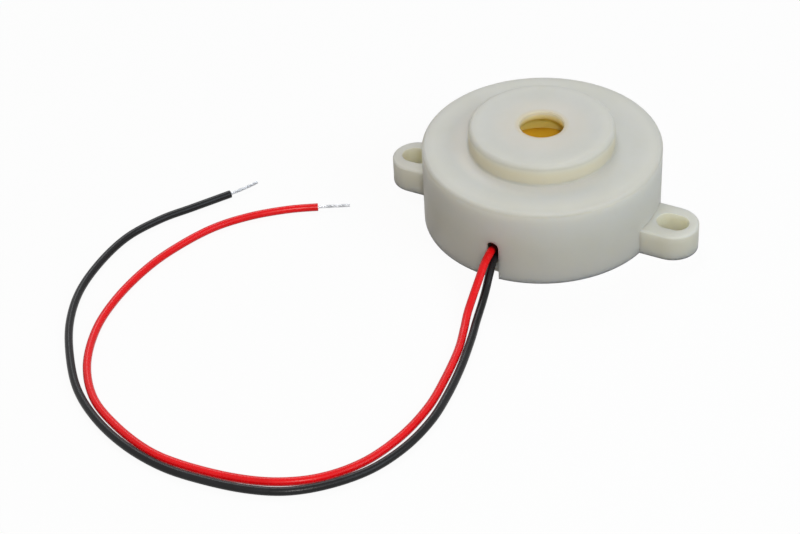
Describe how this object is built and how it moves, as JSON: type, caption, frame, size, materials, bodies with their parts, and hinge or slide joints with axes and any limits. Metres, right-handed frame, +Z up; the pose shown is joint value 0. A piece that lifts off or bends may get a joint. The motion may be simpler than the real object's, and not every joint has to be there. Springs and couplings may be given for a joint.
{
  "type": "piezo buzzer",
  "caption": "Enclosed piezo buzzer: round ivory case with a raised crown, sound port, slotted mounting ears and flying red and black leads with stripped ends.",
  "frame": {"origin": "centre of the flat base, on the surface that the case stands on", "axes": "+X along the line through both ears, +Z up out of the sound port, -Y towards the wire notch"},
  "size_m": [0.0672, 0.0762, 0.0132],
  "materials": {
    "case_plastic": "satin moulded ivory plastic, slightly translucent",
    "plate_plastic": "satin moulded ivory plastic",
    "brass_disc": "rolled brass sheet",
    "silvered_ceramic": "fired ceramic with a silver electrode",
    "silicone": "cured white adhesive",
    "solder": "bright solder",
    "red_insulation": "glossy flexible insulation",
    "black_insulation": "glossy flexible insulation",
    "tinned_copper": "tinned stranded wire"
  },
  "bodies": {
    "root": {"housing": "case_plastic", "base_plate": "plate_plastic", "diaphragm_disc": "brass_disc", "piezo_ceramic": "silvered_ceramic", "adhesive_bead": "silicone", "red_solder": "solder", "black_solder": "solder", "red_lead": "red_insulation", "black_lead": "black_insulation", "red_conductor": "tinned_copper", "black_conductor": "tinned_copper"}
  },
  "joints": []
}
